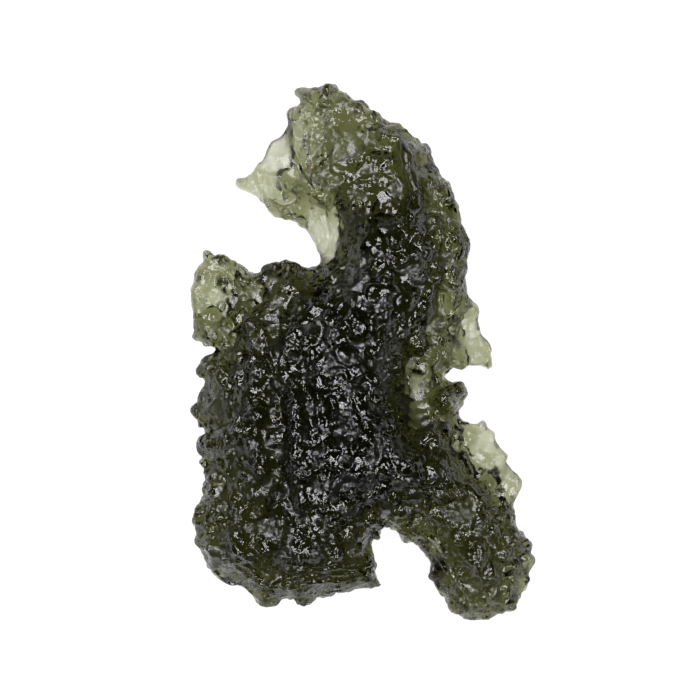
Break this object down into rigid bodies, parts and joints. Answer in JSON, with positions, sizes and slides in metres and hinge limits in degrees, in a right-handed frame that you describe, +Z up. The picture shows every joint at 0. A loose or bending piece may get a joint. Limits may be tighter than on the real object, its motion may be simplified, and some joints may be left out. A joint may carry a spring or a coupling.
{
  "type": "moldavite",
  "caption": "Flat natural piece of green tektite glass, etched all over with bowls and flow grooves, with a notched outline and a leg at one end, lying on a small flat spot.",
  "frame": {"origin": "middle of the footprint, on the surface that the stone rests on", "axes": "+Y along the stone's length towards its top knob, +X towards its right horn, +Z up, away from the face it rests on"},
  "size_m": [0.0214, 0.0334, 0.0084],
  "materials": {
    "moldavite": "etched, glossy, see-through olive green glass"
  },
  "bodies": {
    "root": {"moldavite": "moldavite"}
  },
  "joints": []
}
